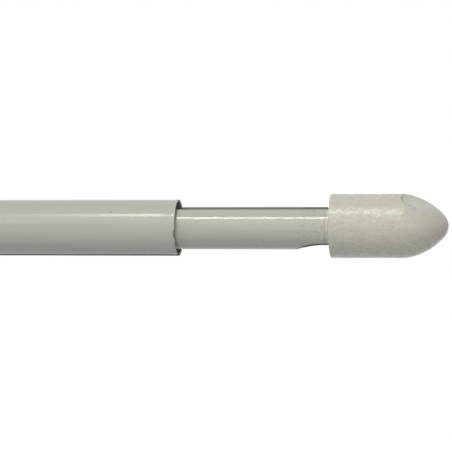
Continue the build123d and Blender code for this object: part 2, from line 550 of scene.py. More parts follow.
@dataclass(frozen=True)
class BareSteel:
    """Unpainted mild steel: the strip's sheared edge, or a tube's bore in its thin coat of zinc.

    Attributes:
        name: The material's name.
        colour: The dull metal's colour.
        patch: The colour of its darker patches.
        metallic: How much of it is clean metal under the film of oil and oxide.
    """

    name: str
    colour: str
    patch: str
    metallic: float

    # Oil and oxide dull the steel, so the eye gets a soft grey with darker streaks along the strip.
    # Real rolling streaks are finer, and are drawn coarser to show.
    ROUGHNESS = 0.55
    PATCH_CELL = 1.6
    STREAK_STRETCH = 8.0

    def build(self) -> bpy.types.Material:
        """Builds the material.

        Returns:
            The finished material.
        """
        material, tree, shader = start_material(self.name)
        place = add_node(tree, "TexCoord").outputs["Object"]
        stretch = (1 / self.STREAK_STRETCH, 1, 1)
        along = add_node(tree, "Mapping", {"Vector": place, "Scale": stretch}).outputs["Vector"]
        patch = add_node(tree, "TexNoise", {"Vector": along, "Scale": cells_per_metre(self.PATCH_CELL)})
        colour = add_node(
            tree,
            "Mix",
            {MIX_SHARE: patch.outputs["Fac"], MIX_BELOW: linear(self.colour), MIX_ABOVE: linear(self.patch)},
            data_type="RGBA",
        )
        tree.links.new(colour.outputs[MIX_RESULT], shader.inputs["Base Color"])
        shader.inputs["Metallic"].default_value = self.metallic
        shader.inputs["Roughness"].default_value = self.ROUGHNESS
        return material


@dataclass(frozen=True)
class MouldedCapPlastic:
    """Off-white polypropylene, injection moulded in a spark-eroded tool.

    Attributes:
        name: The material's name.
        specks: Flecks in the plastic.
    """

    name: str
    specks: tuple[Speck, ...] = ()

    # The eroded tool leaves a satin skin, polished in patches by use, so the eye gets a broad highlight
    # that breaks up into small glints, over plastic that lets a little light in.
    COLOUR = "#CECAB9"
    SHADE = "#C7C3B2"
    FLECK = "#5E5A50"
    ROUGHNESS = 0.36
    SPECULAR = 0.2
    MILK = 0.2
    MILK_DEPTH = 1.0

    # The polished patches are a coat whose weight follows the ripple.
    GLOSS_LOW = 0.15
    GLOSS_HIGH = 0.85
    GLOSS_FROM = 0.42
    GLOSS_TO = 0.62
    GLOSS_ROUGHNESS = 0.26

    # Cells and heights of the patterns, in millimetres. Real eroded grain is under a tenth
    # of a millimetre, too fine to show, so the grain and its ripple are drawn coarser.
    TINT_CELL = 6.0
    GRAIN_CELL = 0.6
    GRAIN_HEIGHT = 0.04
    RIPPLE_CELL = 0.9
    RIPPLE_HEIGHT = 0.15

    def build(self) -> bpy.types.Material:
        """Builds the material.

        Returns:
            The finished material.
        """
        material, tree, shader = start_material(self.name)
        place = add_node(tree, "TexCoord").outputs["Object"]
        tint = add_node(tree, "TexNoise", {"Vector": place, "Scale": cells_per_metre(self.TINT_CELL)})
        colour = add_node(
            tree,
            "Mix",
            {MIX_SHARE: tint.outputs["Fac"], MIX_BELOW: linear(self.COLOUR), MIX_ABOVE: linear(self.SHADE)},
            data_type="RGBA",
        )
        grain = add_node(tree, "TexNoise", {"Vector": place, "Scale": cells_per_metre(self.GRAIN_CELL)})
        bump = add_node(
            tree,
            "Bump",
            {"Height": grain.outputs["Fac"], "Distance": self.GRAIN_HEIGHT * MM, "Strength": 1.0},
        )
        ripple = add_node(tree, "TexNoise", {"Vector": place, "Scale": cells_per_metre(self.RIPPLE_CELL)})
        glint = add_node(
            tree,
            "Bump",
            {"Height": ripple.outputs["Fac"], "Distance": self.RIPPLE_HEIGHT * MM, "Strength": 1.0},
        )
        gloss = add_node(
            tree,
            "MapRange",
            {
                "Value": ripple.outputs["Fac"],
                "From Min": self.GLOSS_FROM,
                "From Max": self.GLOSS_TO,
                "To Min": self.GLOSS_LOW,
                "To Max": self.GLOSS_HIGH,
            },
        )
        flecked = darken_specks(tree, place, colour.outputs[MIX_RESULT], self.specks, self.FLECK)
        tree.links.new(flecked, shader.inputs["Base Color"])
        tree.links.new(bump.outputs["Normal"], shader.inputs["Normal"])
        tree.links.new(glint.outputs["Normal"], shader.inputs["Coat Normal"])
        tree.links.new(gloss.outputs["Result"], shader.inputs["Coat Weight"])
        shader.inputs["Roughness"].default_value = self.ROUGHNESS
        shader.inputs["Specular IOR Level"].default_value = self.SPECULAR
        shader.inputs["Coat Roughness"].default_value = self.GLOSS_ROUGHNESS
        shader.inputs["Subsurface Weight"].default_value = self.MILK
        shader.inputs["Subsurface Scale"].default_value = self.MILK_DEPTH * MM
        return material


@dataclass(frozen=True)
class PlugNylon:
    """Natural nylon, injection moulded.

    Attributes:
        name: The material's name.
    """

    name: str

    # Unpigmented nylon is milky, so the eye gets a satin, faintly yellow white with a little light inside.
    COLOUR = "#E3E0D4"
    SHADE = "#D8D4C6"
    ROUGHNESS = 0.42
    MILK = 0.15
    MILK_DEPTH = 0.8
    FLOW_CELL = 2.5

    def build(self) -> bpy.types.Material:
        """Builds the material.

        Returns:
            The finished material.
        """
        material, tree, shader = start_material(self.name)
        place = add_node(tree, "TexCoord").outputs["Object"]
        flow = add_node(tree, "TexNoise", {"Vector": place, "Scale": cells_per_metre(self.FLOW_CELL)})
        colour = add_node(
            tree,
            "Mix",
            {MIX_SHARE: flow.outputs["Fac"], MIX_BELOW: linear(self.COLOUR), MIX_ABOVE: linear(self.SHADE)},
            data_type="RGBA",
        )
        tree.links.new(colour.outputs[MIX_RESULT], shader.inputs["Base Color"])
        shader.inputs["Roughness"].default_value = self.ROUGHNESS
        shader.inputs["Subsurface Weight"].default_value = self.MILK
        shader.inputs["Subsurface Scale"].default_value = self.MILK_DEPTH * MM
        return material


# Tubes


@dataclass(kw_only=True)
class RolledTube(ABC):
    """A painted steel strip rolled to a C-section.

    Attributes:
        name: The piece's name.
        node: The CAD node that it stands for.
        body: The body that it rides on.
        radius: Outside radius.
        wall: Thickness of the strip.
        slit_angle: Where the slit lies, in degrees up from the front.
        slit_width: Width of the slit.
        edge_radius: How far the strip's edges are rounded.
    """

    name: str
    node: str
    body: str
    radius: float
    wall: float
    slit_angle: float
    slit_width: float
    edge_radius: float = 0.05 * MM

    SEGMENTS = 240
    EDGE_STEPS = 3
    SHARP_EDGE = math.radians(50)
    SMOOTH_BELOW = math.radians(35)
    TOLERANCE = 0.01 * MM  # how near a vertex lies to the line that it is picked on

    def __post_init__(self) -> None:
        """Takes the tube's ends from the frame and turns the slit's angle to directions."""
        low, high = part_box(self.node)
        self.start_x, self.end_x = low.x, high.x
        self.half_segment = self.radius * math.pi / self.SEGMENTS
        angle = math.radians(self.slit_angle)
        self.slit_outward = around(angle, 1, 0)
        self.slit_across = around(angle + math.pi / 2, 1, 0)

    @abstractmethod
    def build(self) -> bpy.types.Object:
        """Models the tube.

        Returns:
            The finished mesh object.
        """

    def roll(self, stations: Iterable[float]) -> bpy.types.Object:
        """Adds the tube's outside as an open cylinder, with extra rings of vertices.

        Args:
            stations: Where the extra rings lie along the rod.

        Returns:
            The tube.
        """
        bpy.ops.object.select_all(action="DESELECT")
        bpy.ops.mesh.primitive_cylinder_add(
            vertices=self.SEGMENTS,
            radius=self.radius,
            depth=self.end_x - self.start_x,
            end_fill_type="NOTHING",
            location=((self.start_x + self.end_x) / 2, 0, 0),
            rotation=(0, math.pi / 2, 0),
        )
        tube = start_piece(bpy.context.object, self.name)
        for x in stations:
            shape(tube, Element.FACE, everywhere, bpy.ops.mesh.bisect, plane_co=(x, 0, 0), plane_no=(1, 0, 0))
        return tube

    def open_slit(self, tube: bpy.types.Object) -> None:
        """Cuts the slit out of the strip, with straight sides.

        Args:
            tube: The tube, still without thickness.
        """
        half = self.slit_width / 2

        def near_slit(point: Vector) -> bool:
            """Picks the faces of the slit and those beside it."""
            return point.dot(self.slit_outward) > 0 and abs(point.dot(self.slit_across)) < self.slit_width

        def in_slit(point: Vector) -> bool:
            """Picks the faces of the slit alone."""
            return point.dot(self.slit_outward) > 0 and abs(point.dot(self.slit_across)) < half

        for side in (half, -half):
            shape(
                tube,
                Element.FACE,
                near_slit,
                bpy.ops.mesh.bisect,
                plane_co=self.slit_across * side,
                plane_no=self.slit_across,
            )
        shape(tube, Element.FACE, in_slit, bpy.ops.mesh.delete, type="FACE")

    def thicken(self, tube: bpy.types.Object) -> None:
        """Gives the strip its wall, with bare edges and a bare bore.

        Args:
            tube: The tube.
        """
        for _ in TubeSlot:
            tube.data.materials.append(None)
        apply_modifier(
            tube,
            "SOLIDIFY",
            thickness=self.wall,
            offset=-1,
            use_even_offset=True,
            material_offset=TubeSlot.BORE.value,
            material_offset_rim=TubeSlot.CUT_EDGE.value,
        )

    def break_edges(self, tube: bpy.types.Object) -> None:
        """Rounds the strip's sharp edges and shades the tube smooth.

        Args:
            tube: The tube.
        """
        apply_modifier(
            tube,
            "BEVEL",
            width=self.edge_radius,
            segments=self.EDGE_STEPS,
            limit_method="ANGLE",
            angle_limit=self.SHARP_EDGE,
        )
        bpy.ops.object.shade_smooth_by_angle(angle=self.SMOOTH_BELOW)

    def dress(self, tube: bpy.types.Object, paint: StripEnamel, edge: BareSteel, bore: BareSteel) -> None:
        """Gives the tube its finishes and puts it in its CAD node's place.

        Args:
            tube: The finished tube.
            paint: The enamel outside.
            edge: The strip's cut edges.
            bore: The inside.
        """
        for slot, finish in zip(TubeSlot, (paint, edge, bore)):
            tube.data.materials[slot.value] = finish.build()
        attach(tube, self.body)
        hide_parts(self.node)


@dataclass(kw_only=True)
class OuterTube(RolledTube):
    """The wider tube, with its slit underneath and a worn mouth.

    Attributes:
        corner_radius: How far the strip's corners are rounded at the mouth.
        nick_width: Width of the nick in the front of the mouth.
        nick_depth: Depth of the nick.
        nick_height: Height of the nick above the axis.
        lip_start: From the mouth's edge back to where the low bead behind it starts.
        lip_crest: From the mouth's edge back to the bead's crest.
        lip_height: Height of the bead.
    """

    corner_radius: float
    nick_width: float
    nick_depth: float
    nick_height: float
    lip_start: float = 0.9 * MM
    lip_crest: float = 0.45 * MM
    lip_height: float = 0.05 * MM

    PLAIN_FROM = 4 * MM  # from the mouth's edge back to the last ring of vertices that keeps its place
    CORNER_REACH = 1.6  # how far a corner's rounding takes the mouth's edge along, in corner radii

    def build(self) -> bpy.types.Object:
        """Models the tube.

        Returns:
            The finished mesh object.
        """
        tube = self.roll(self.end_x - back for back in (self.PLAIN_FROM, self.lip_start, self.lip_crest))
        self.open_slit(tube)
        self.raise_lip(tube)
        self.round_corners(tube)
        self.nick_mouth(tube)
        self.thicken(tube)
        self.break_edges(tube)
        return tube

    def on_mouth(self, point: Vector) -> bool:
        """Says whether a vertex lies on the mouth's edge."""
        return point.x > self.end_x - self.lip_crest / 2

    def raise_lip(self, tube: bpy.types.Object) -> None:
        """Raises the low bead that shearing the strip left behind the mouth's edge.

        Args:
            tube: The tube, still without thickness.
        """
        growth = 1 + self.lip_height / self.radius
        crest_x = self.end_x - self.lip_crest

        def on_crest(point: Vector) -> bool:
            """Picks the bead's ring of vertices."""
            return abs(point.x - crest_x) < self.TOLERANCE

        shape(
            tube,
            Element.VERTEX,
            on_crest,
            bpy.ops.transform.resize,
            value=(1, growth, growth),
            center_override=(crest_x, 0, 0),
        )

    def round_corners(self, tube: bpy.types.Object) -> None:
        """Rounds the two corners where the slit meets the mouth.

        Args:
            tube: The tube, still without thickness.
        """

        def at_corner(point: Vector) -> bool:
            """Picks the vertices at the ends of the slit's two sides."""
            beside_slit = abs(abs(point.dot(self.slit_across)) - self.slit_width / 2) < self.TOLERANCE
            return self.on_mouth(point) and beside_slit and point.dot(self.slit_outward) > 0

        back = Vector((-self.corner_radius, 0, 0))
        push(tube, at_corner, back, self.CORNER_REACH * self.corner_radius, Falloff.SHARP)

    def nick_mouth(self, tube: bpy.types.Object) -> None:
        """Wears the small nick into the front of the mouth.

        Args:
            tube: The tube, still without thickness.
        """

        def at_nick(point: Vector) -> bool:
            """Picks the vertex in the middle of the nick."""
            in_line = abs(point.z - self.nick_height) <= self.half_segment
            return self.on_mouth(point) and point.y < 0 and in_line

        push(tube, at_nick, Vector((-self.nick_depth, 0, 0)), self.nick_width / 2, Falloff.SPHERE)


@dataclass(kw_only=True)
class InnerTube(RolledTube):
    """The slimmer tube, with its slit on top, a notch under its outer end and two dimples at its hidden end.

    Attributes:
        rim_x: Where the end cap's rim lies.
        notch_depth: Depth of the notch.
        notch_run_out: Radius in which the notch runs out.
        notch_shown: Length of the notch's flat that stays outside the cap.
        notch_tilt: How far the notch is turned to the front, in degrees.
        dimple_station: From the hidden end to the dimples.
        dimple_reach: Half the width of a dimple.
        dimple_depth: Depth of a dimple.
    """

    rim_x: float
    notch_depth: float
    notch_run_out: float
    notch_shown: float
    notch_tilt: float
    dimple_station: float
    dimple_reach: float
    dimple_depth: float

    DIMPLE_ROWS = 5
    NOTCH_MARGIN = 4 * MM  # from the notch back to the last plain ring of vertices
    ARC_STEPS = 16

    def build(self) -> bpy.types.Object:
        """Models the tube.

        Returns:
            The finished mesh object.
        """
        dimple_x = self.start_x + self.dimple_station
        rows = range(-self.DIMPLE_ROWS, self.DIMPLE_ROWS + 1)
        stations = [dimple_x + self.dimple_reach * row / self.DIMPLE_ROWS for row in rows]
        tube = self.roll([*stations, self.notch_start_x() - self.NOTCH_MARGIN])
        self.open_slit(tube)
        self.press_dimples(tube, dimple_x)
        self.thicken(tube)
        self.cut_notch(tube)
        self.break_edges(tube)
        return tube

    def notch_start_x(self) -> float:
        """Gives the station where the notch runs out."""
        length_squared = 2 * self.notch_run_out * self.notch_depth - self.notch_depth**2
        return self.notch_flat_x() - math.sqrt(length_squared)

    def notch_flat_x(self) -> float:
        """Gives the station where the notch's flat starts."""
        return self.rim_x - self.notch_shown

    def press_dimples(self, tube: bpy.types.Object, x: float) -> None:
        """Presses one dimple into the front and one into the back.

        Args:
            tube: The tube, still without thickness.
            x: Their station.
        """
        for side in (-1, 1):

            def at_dimple(point: Vector, side: int = side) -> bool:
                """Picks the vertex in the middle of this side's dimple."""
                return (point - Vector((x, side * self.radius, 0))).length < self.half_segment

            inward = Vector((0, -side * self.dimple_depth, 0))
            push(tube, at_dimple, inward, self.dimple_reach, Falloff.SPHERE)

    def cut_notch(self, tube: bpy.types.Object) -> None:
        """Cuts the notch with a block that has the notch's outline.

        Args:
            tube: The tube, with its wall.
        """
        tilt = math.radians(self.notch_tilt)
        outward = Vector((0, -math.sin(tilt), -math.cos(tilt)))
        across = Vector((0, math.cos(tilt), -math.sin(tilt)))
        level = self.radius - self.notch_depth
        flat_x = self.notch_flat_x()
        past_end = self.end_x + self.radius
        outside = 2 * self.radius
        turn = math.asin((flat_x - self.notch_start_x()) / self.notch_run_out)
        outline: Outline = [(past_end, level)]
        for step in range(self.ARC_STEPS + 1):
            angle = turn * step / self.ARC_STEPS
            drop = self.notch_run_out * (1 - math.cos(angle))
            outline.append((flat_x - self.notch_run_out * math.sin(angle), level + drop))
        outline += [(self.notch_start_x(), outside), (past_end, outside)]
        points = [Vector((x, 0, 0)) + outward * depth - across * self.radius for x, depth in outline]
        block = draw_outline("notch_block", points)
        shape(block, Element.VERTEX, everywhere, bpy.ops.mesh.edge_face_add)
        shape(
            block,
            Element.FACE,
            everywhere,
            bpy.ops.mesh.extrude_region_move,
            TRANSFORM_OT_translate={"value": across * 2 * self.radius},
        )
        shape(block, Element.FACE, everywhere, bpy.ops.mesh.normals_make_consistent, inside=False)
        for _ in TubeSlot:
            block.data.materials.append(None)
        sides = block.data.polygons
        sides.foreach_set("material_index", [TubeSlot.CUT_EDGE.value] * len(sides))
        bpy.ops.object.select_all(action="DESELECT")
        bpy.context.view_layer.objects.active = tube
        apply_modifier(tube, "BOOLEAN", object=block, operation="DIFFERENCE", solver="EXACT")
        bpy.data.objects.remove(block)


# Caps


@dataclass(kw_only=True)
class BulletCap(ABC):
    """A moulded end cap: straight for two thirds of its length, then a bullet nose with a trimmed gate.

    Attributes:
        name: The piece's name.
        node: The CAD node that it stands for.
        body: The body that it rides on.
        rim_x: Where the cap's rim lies on the rod.
        heading: Which way the nose points.
        straight: Length of the straight part.
        tube_fit: Radius of the socket or the spigot.
        tube_depth: Length of the socket or the spigot.
        rib_height: How far a crush rib stands out.
        rib_width: Width of a crush rib.
        rib_count: Number of crush ribs.
        nose_radius: Radius of the nose's long arc.
        nose_break: Turn of the outline where the straight part meets that arc, in degrees.
        shoulder_radius: Radius of the blend over that break.
        tip_radius: Radius of the tip.
        rim_radius: How far the rim's edge is rounded.
        gate_station: From the start of the nose to the middle of the trimmed gate.
        gate_angle: Where the gate lies, in degrees up from the front.
        gate_depth: Depth of the gate's flat in the middle.
        gate_crisp: How soft the flat's border is at its start.
        gate_soft: How soft the border is at its far end.
        scoop_depth: Depth below the flat that the hollow at its start tends to.
        scoop_rise: How much pressing brings the hollow near that depth.
        scoop_length: Length of nose in which the hollow fades out.
    """

    name: str
    node: str
    body: str
    rim_x: float
    heading: Heading
    straight: float
    tube_fit: float
    tube_depth: float
    rib_height: float
    rib_width: float
    rib_count: int = 6
    nose_radius: float = 14.2 * MM
    nose_break: float = 7.0
    shoulder_radius: float = 8.0 * MM
    tip_radius: float = 3.6 * MM
    rim_radius: float = 0.15 * MM
    gate_station: float = 3.35 * MM
    gate_angle: float = 65.0
    gate_depth: float = 0.7 * MM
    gate_crisp: float = 0.02 * MM
    gate_soft: float = 0.3 * MM
    scoop_depth: float = 2.2 * MM
    scoop_rise: float = 0.8 * MM
    scoop_length: float = 7.0 * MM

    STEPS = 192
    TIP_STEPS = 12
    NOSE_STEPS = 48
    SHOULDER_STEPS = 12
    BODY_STEPS = 20
    RIM_STEPS = 5
    GATE_REACH = 8.0  # how far from the flat's level its soft border is worked out, in softnesses
    SMOOTH_BELOW = math.radians(30)
    MERGE_DISTANCE = 0.001 * MM

    def __post_init__(self) -> None:
        """Works out the nose's arcs from the cap's size and place in the frame."""
        low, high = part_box(self.node)
        self.radius = (high.z - low.z) / 2
        self.rise = (high.z + low.z) / 2
        self.sign = self.heading.value
        self.break_slope = math.radians(self.nose_break)
        self.nose_x = self.straight - self.nose_radius * math.sin(self.break_slope)
        self.nose_height = self.radius - self.nose_radius * math.cos(self.break_slope)
        tip_reach = self.nose_radius - self.tip_radius
        self.tip_x = self.nose_x + math.sqrt(tip_reach**2 - self.nose_height**2)
        self.tip_slope = math.atan2(self.tip_x - self.nose_x, -self.nose_height)
        shoulder_reach = self.nose_radius - self.shoulder_radius
        shoulder_climb = self.radius - self.shoulder_radius - self.nose_height
        self.shoulder_x = self.nose_x + math.sqrt(shoulder_reach**2 - shoulder_climb**2)
        self.shoulder_slope = math.atan2(self.shoulder_x - self.nose_x, shoulder_climb)

    @abstractmethod
    def tube_outline(self) -> Outline:
        """Gives the outline from the rim to the axis, on the side of the tube.

        Returns:
            Distances from the rim, towards the nose, and from the axis.
        """

    @abstractmethod
    def on_rib_face(self, x: float, radius: float) -> bool:
        """Says whether a face carries a rib.

        Args:
            x: Its distance from the rim, towards the nose.
            radius: Its distance from the axis.

        Returns:
            Whether it lies on the ribs' stretch of the wall that meets the tube.
        """

    def head_outline(self) -> Outline:
        """Gives the outside's outline from the tip to the rim.

        Returns:
            Distances from the rim, towards the nose, and from the axis.
        """
        outline: Outline = []
        for step in range(self.TIP_STEPS):
            slope = math.pi / 2 + (self.tip_slope - math.pi / 2) * step / self.TIP_STEPS
            x = self.tip_x + self.tip_radius * math.sin(slope)
            outline.append((x, self.tip_radius * math.cos(slope)))
        for step in range(self.NOSE_STEPS):
            slope = self.tip_slope + (self.shoulder_slope - self.tip_slope) * step / self.NOSE_STEPS
            x = self.nose_x + self.nose_radius * math.sin(slope)
            outline.append((x, self.nose_height + self.nose_radius * math.cos(slope)))
        for step in range(self.SHOULDER_STEPS + 1):
            slope = self.shoulder_slope * (1 - step / self.SHOULDER_STEPS)
            x = self.shoulder_x + self.shoulder_radius * math.sin(slope)
            outline.append((x, self.radius - self.shoulder_radius * (1 - math.cos(slope))))
        for step in range(1, self.BODY_STEPS):
            outline.append((self.shoulder_x * (1 - step / self.BODY_STEPS), self.radius))
        for step in range(self.RIM_STEPS + 1):
            turn = math.pi / 2 * step / self.RIM_STEPS
            x = self.rim_radius * (1 - math.sin(turn))
            outline.append((x, self.radius - self.rim_radius * (1 - math.cos(turn))))
        return outline

    def build(self) -> bpy.types.Object:
        """Spins the outline, raises the ribs, lifts the head and presses the gate.

        Returns:
            The finished mesh object.
        """
        outline = self.head_outline() + self.tube_outline()
        points = [Vector((self.rim_x + self.sign * x, 0, radius)) for x, radius in outline]
        cap = draw_outline(self.name, points)
        shape(
            cap,
            Element.VERTEX,
            everywhere,
            bpy.ops.mesh.spin,
            steps=self.STEPS,
            angle=FULL_TURN,
            center=(0, 0, 0),
            axis=(1, 0, 0),
        )
        shape(cap, Element.VERTEX, everywhere, bpy.ops.mesh.remove_doubles, threshold=self.MERGE_DISTANCE)
        shape(cap, Element.FACE, everywhere, bpy.ops.mesh.normals_make_consistent, inside=False)
        self.raise_ribs(cap)
        self.lift_head(cap)
        self.press_gate(cap)
        bpy.ops.object.shade_smooth_by_angle(angle=self.SMOOTH_BELOW)
        return cap

    def raise_ribs(self, cap: bpy.types.Object) -> None:
        """Extrudes the crush ribs out of the wall that meets the tube.

        Args:
            cap: The spun cap.
        """
        spacing = FULL_TURN / self.rib_count

        def on_rib(point: Vector) -> bool:
            """Picks the faces of the ribs.

            Args:
                point: A face's centre.

            Returns:
                Whether a rib covers it.
            """
            radius = math.hypot(point.y, point.z)
            if not self.on_rib_face(self.sign * (point.x - self.rim_x), radius):
                return False
            angle = math.atan2(point.z, -point.y) % spacing
            return min(angle, spacing - angle) * radius < self.rib_width / 2

        shape(
            cap,
            Element.FACE,
            on_rib,
            bpy.ops.mesh.extrude_region_shrink_fatten,
            TRANSFORM_OT_shrink_fatten={"value": self.rib_height},
        )

    def lift_head(self, cap: bpy.types.Object) -> None:
        """Moves the outside up to the cap's own axis, which may lie above the tube's.

        Args:
            cap: The cap, still centred on the tube.
        """
        inside = (self.tube_fit + self.radius) / 2

        def on_head(point: Vector) -> bool:
            """Picks the outside and all that lies beyond the tube."""
            past_socket = self.sign * (point.x - self.rim_x) > self.tube_depth + self.MERGE_DISTANCE
            return past_socket or math.hypot(point.y, point.z) > inside

        shape(cap, Element.VERTEX, on_head, bpy.ops.transform.translate, value=(0, 0, self.rise))

    def press_gate(self, cap: bpy.types.Object) -> None:
        """Presses in the spot on the nose where the moulding gate was trimmed.

        The spot is a flat whose border is crisp at its start and soft beyond, with a hollow at the start.
        Its soft forms follow a formula that no operator has, so each vertex is moved to its place.

        Args:
            cap: The cap.
        """
        slope = math.asin(self.gate_station / self.nose_radius + math.sin(self.break_slope))
        height = self.nose_height + self.nose_radius * math.cos(slope)
        upward = around(math.radians(self.gate_angle), 1, 0)
        normal = upward * math.cos(slope) + Vector((self.sign * math.sin(slope), 0, 0))
        nose_start = self.rim_x + self.sign * self.straight
        middle = Vector((nose_start + self.sign * self.gate_station, 0, self.rise)) + upward * height
        level = middle.dot(normal) - self.gate_depth
        shape(cap, Element.FACE, everywhere, bpy.ops.mesh.bisect, plane_co=normal * level, plane_no=normal)
        for vertex in cap.data.vertices:
            along = self.sign * (vertex.co.x - nose_start)
            far = min(max(along / (2 * self.gate_station), 0), 1)
            softness = self.gate_crisp + (self.gate_soft - self.gate_crisp) * far
            above = (vertex.co.dot(normal) - level) / softness
            if above < -self.GATE_REACH:
                continue
            pressed = softness * (above if above > self.GATE_REACH else math.log1p(math.exp(above)))
            fade = min(max(1 - along / self.scoop_length, 0), 1) ** 2
            scoop = self.scoop_depth * fade * (1 - math.exp(-pressed / self.scoop_rise))
            vertex.co -= normal * (pressed + scoop)

    def dress(self, cap: bpy.types.Object, plastic: MouldedCapPlastic) -> None:
        """Gives the cap its finish and puts it in its CAD node's place.

        Args:
            cap: The finished cap.
            plastic: Its plastic.
        """
        cap.data.materials.append(plastic.build())
        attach(cap, self.body)
        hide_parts(self.node)


@dataclass(kw_only=True)
class SocketCap(BulletCap):
    """The cap with a blind socket, on the inner tube.

    Attributes:
        lead_in: Chamfer at the socket's mouth.
    """

    lead_in: float

    def tube_outline(self) -> Outline:
        """Gives the lead-in, the socket's wall with the ribs' ends, and its floor.

        Returns:
            Distances from the rim, towards the nose, and from the axis.
        """
        return [
            (0, self.tube_fit + self.lead_in),
            (self.lead_in, self.tube_fit),
            (2 * self.lead_in, self.tube_fit),
            (self.tube_depth, self.tube_fit),
            (self.tube_depth, 0),
        ]

    def on_rib_face(self, x: float, radius: float) -> bool:
        """Says whether a face lies on the socket's wall, past the lead-in."""
        return 2 * self.lead_in < x < self.tube_depth and radius < self.tube_fit + self.lead_in / 2


@dataclass(kw_only=True)
class SpigotCap(BulletCap):
    """The cap with a cored spigot, in the outer tube.

    Attributes:
        chamfer: Chamfer at the spigot's free end.
        spigot_wall: Thickness of the spigot.
        core_depth: Depth of the core, from the spigot's free end.
    """

    chamfer: float
    spigot_wall: float
    core_depth: float

    def tube_outline(self) -> Outline:
        """Gives the spigot's outside with the ribs' ends, its free end and its core.

        Returns:
            Distances from the rim, towards the nose, and from the axis.
        """
        core = self.tube_fit - self.spigot_wall
        return [
            (0, self.tube_fit),
            (2 * self.chamfer - self.tube_depth, self.tube_fit),
            (self.chamfer - self.tube_depth, self.tube_fit),
            (-self.tube_depth, self.tube_fit - self.chamfer),
            (-self.tube_depth, core),
            (self.core_depth - self.tube_depth, core),
            (self.core_depth - self.tube_depth, 0),
        ]

    def on_rib_face(self, x: float, radius: float) -> bool:
        """Says whether a face lies on the spigot's outside, short of its chamfer."""
        return 2 * self.chamfer - self.tube_depth < x < 0 and radius > self.tube_fit - self.chamfer / 2


# Plug


@dataclass(kw_only=True)
class FrictionPlug:
    """The sprung plug between the tubes, which keeps its CAD form.

    Attributes:
        node: The CAD node.
    """

    node: str

    def dress(self, nodes: dict[str, bpy.types.Object], nylon: PlugNylon) -> bpy.types.Object:
        """Gives the plug its nylon.

        Args:
            nodes: The frame's CAD nodes.
            nylon: The finish.

        Returns:
            The plug's object.
        """
        plug = nodes[self.node]
        plug.data.materials.clear()
        plug.data.materials.append(nylon.build())
        return plug


# Studio


@dataclass(frozen=True, kw_only=True)
class AreaLamp:
    """A flat lamp that faces a point on the rod's axis.

    Attributes:
        name: The lamp's name.
        aim_x: Station that it faces.
        elevation: How high it hangs, in degrees up from level.
        turn: How far it hangs to the right of the front, in degrees.
        distance: Distance from the axis.
        width: Width of its face.
        height: Height of its face.
        radiance: How bright its face is.
        colour: The light's colour.
    """

    name: str
    aim_x: float
    elevation: float
    turn: float
    distance: float
    width: float
    height: float
    radiance: float
    colour: LightColour

    def hang(self) -> None:
        """Adds the lamp to the scene, out of the camera's sight."""
        data = bpy.data.lights.new(self.name, "AREA")
        data.shape = "RECTANGLE"
        data.size = self.width
        data.size_y = self.height
        data.energy = self.radiance * math.pi * self.width * self.height
        data.color = self.colour
        lamp = bpy.data.objects.new(self.name, data)
        elevation = math.radians(self.elevation)
        turn = math.radians(self.turn)
        level = math.cos(elevation)
        outward = Vector((level * math.sin(turn), -level * math.cos(turn), math.sin(elevation)))
        lamp.location = Vector((self.aim_x, 0, 0)) + outward * self.distance
        lamp.rotation_euler = (math.pi / 2 - elevation, 0, turn)
        lamp.visible_camera = False
        bpy.context.scene.collection.objects.link(lamp)


@dataclass(frozen=True, kw_only=True)
class SunLamp:
    """A far lamp whose light reaches the whole rod alike.

    Attributes:
        name: The lamp's name.
        elevation: How high it stands, in degrees up from level.
        turn: How far it stands to the right of the front, in degrees.
        spread: How wide it looks from the rod, in degrees.
        strength: How bright it is.
        colour: The light's colour.
    """

    name: str
    elevation: float
    turn: float
    spread: float
    strength: float
    colour: LightColour

    def hang(self) -> None:
        """Adds the lamp to the scene."""
        data = bpy.data.lights.new(self.name, "SUN")
        data.energy = self.strength
        data.angle = math.radians(self.spread)
        data.color = self.colour
        lamp = bpy.data.objects.new(self.name, data)
        lamp.rotation_euler = (math.radians(90 - self.elevation), 0, math.radians(self.turn))
        bpy.context.scene.collection.objects.link(lamp)


